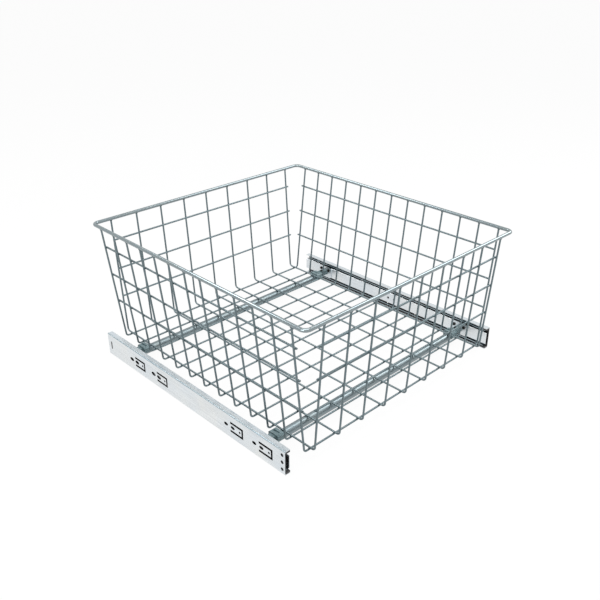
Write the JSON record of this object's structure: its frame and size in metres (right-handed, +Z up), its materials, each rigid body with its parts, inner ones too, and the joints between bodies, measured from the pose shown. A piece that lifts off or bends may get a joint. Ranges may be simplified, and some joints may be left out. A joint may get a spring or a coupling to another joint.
{
  "type": "pull-out wire basket",
  "caption": "Pull-out wire basket with sloping welded-wire walls, carried on tubular crossbars between full-extension ball-bearing slides that screw to the sides of a fitted cabinet",
  "frame": {"origin": "middle of the footprint, level with the underside of the slides", "axes": "X across the cabinet to the right, -Y to the front where the basket pulls out, Z up"},
  "size_m": [0.548, 0.5628, 0.2612],
  "materials": {
    "rim_wire": "bright zinc plate",
    "mesh_wire": "bright zinc plate",
    "crossbar_tube": "zinc plate",
    "socket_plastic": "moulded grey",
    "bracket_steel": "zinc plate",
    "slide_steel": "clear zinc plate",
    "dark_steel": "black zinc plate",
    "cage_steel": "greased steel",
    "ball_steel": "polished",
    "black_plastic": "moulded black"
  },
  "bodies": {
    "cabinet_rails": {"left_cabinet_rail": "slide_steel", "left_front_guide": "black_plastic", "left_rear_stop": "black_plastic", "right_cabinet_rail": "slide_steel", "right_front_guide": "black_plastic", "right_rear_stop": "black_plastic"},
    "basket": {"rim_wire": "rim_wire", "transverse_wire_01": "mesh_wire", "transverse_wire_02": "mesh_wire", "transverse_wire_03": "mesh_wire", "transverse_wire_04": "mesh_wire", "transverse_wire_05": "mesh_wire", "transverse_wire_06": "mesh_wire", "transverse_wire_07": "mesh_wire", "transverse_wire_08": "mesh_wire", "transverse_wire_09": "mesh_wire", "transverse_wire_10": "mesh_wire", "transverse_wire_11": "mesh_wire", "transverse_wire_12": "mesh_wire", "transverse_wire_13": "mesh_wire", "longitudinal_wire_1": "mesh_wire", "longitudinal_wire_2": "mesh_wire", "longitudinal_wire_3": "mesh_wire", "longitudinal_wire_4": "mesh_wire", "longitudinal_wire_5": "mesh_wire", "longitudinal_wire_6": "mesh_wire", "longitudinal_wire_7": "mesh_wire", "longitudinal_wire_8": "mesh_wire", "longitudinal_wire_9": "mesh_wire", "left_belts": "mesh_wire", "right_belts": "mesh_wire", "front_belts": "mesh_wire", "rear_belts": "mesh_wire", "front_crossbar": "crossbar_tube", "rear_crossbar": "crossbar_tube", "front_left_socket": "socket_plastic", "front_left_plate": "bracket_steel", "front_right_socket": "socket_plastic", "front_right_plate": "bracket_steel", "rear_left_socket": "socket_plastic", "rear_left_plate": "bracket_steel", "rear_right_socket": "socket_plastic", "rear_right_plate": "bracket_steel", "left_drawer_rail": "slide_steel", "right_drawer_rail": "slide_steel"},
    "left_middle": {"left_middle_rail": "dark_steel"},
    "left_outer_cage": {"left_outer_cage": "cage_steel", "left_outer_balls": "ball_steel"},
    "left_inner_cage": {"left_inner_cage": "cage_steel", "left_inner_balls": "ball_steel"},
    "right_middle": {"right_middle_rail": "dark_steel"},
    "right_outer_cage": {"right_outer_cage": "cage_steel", "right_outer_balls": "ball_steel"},
    "right_inner_cage": {"right_inner_cage": "cage_steel", "right_inner_balls": "ball_steel"}
  },
  "joints": [
    {"name": "basket_pull", "type": "slide", "parent": "cabinet_rails", "child": "basket", "axis": [0, -1, 0], "range_m": [0, 0.5]},
    {"name": "left_middle_travel", "type": "slide", "parent": "cabinet_rails", "child": "left_middle", "axis": [0, -1, 0], "range_m": [0, 0.25]},
    {"name": "left_outer_cage_travel", "type": "slide", "parent": "cabinet_rails", "child": "left_outer_cage", "axis": [0, -1, 0], "range_m": [0, 0.125]},
    {"name": "left_inner_cage_travel", "type": "slide", "parent": "cabinet_rails", "child": "left_inner_cage", "axis": [0, -1, 0], "range_m": [0, 0.375]},
    {"name": "right_middle_travel", "type": "slide", "parent": "cabinet_rails", "child": "right_middle", "axis": [0, -1, 0], "range_m": [0, 0.25]},
    {"name": "right_outer_cage_travel", "type": "slide", "parent": "cabinet_rails", "child": "right_outer_cage", "axis": [0, -1, 0], "range_m": [0, 0.125]},
    {"name": "right_inner_cage_travel", "type": "slide", "parent": "cabinet_rails", "child": "right_inner_cage", "axis": [0, -1, 0], "range_m": [0, 0.375]}
  ],
  "couplings": [
    {"joint": "left_middle_travel", "follows": "basket_pull", "ratio": 0.5},
    {"joint": "left_outer_cage_travel", "follows": "basket_pull", "ratio": 0.25},
    {"joint": "left_inner_cage_travel", "follows": "basket_pull", "ratio": 0.75},
    {"joint": "right_middle_travel", "follows": "basket_pull", "ratio": 0.5},
    {"joint": "right_outer_cage_travel", "follows": "basket_pull", "ratio": 0.25},
    {"joint": "right_inner_cage_travel", "follows": "basket_pull", "ratio": 0.75}
  ]
}
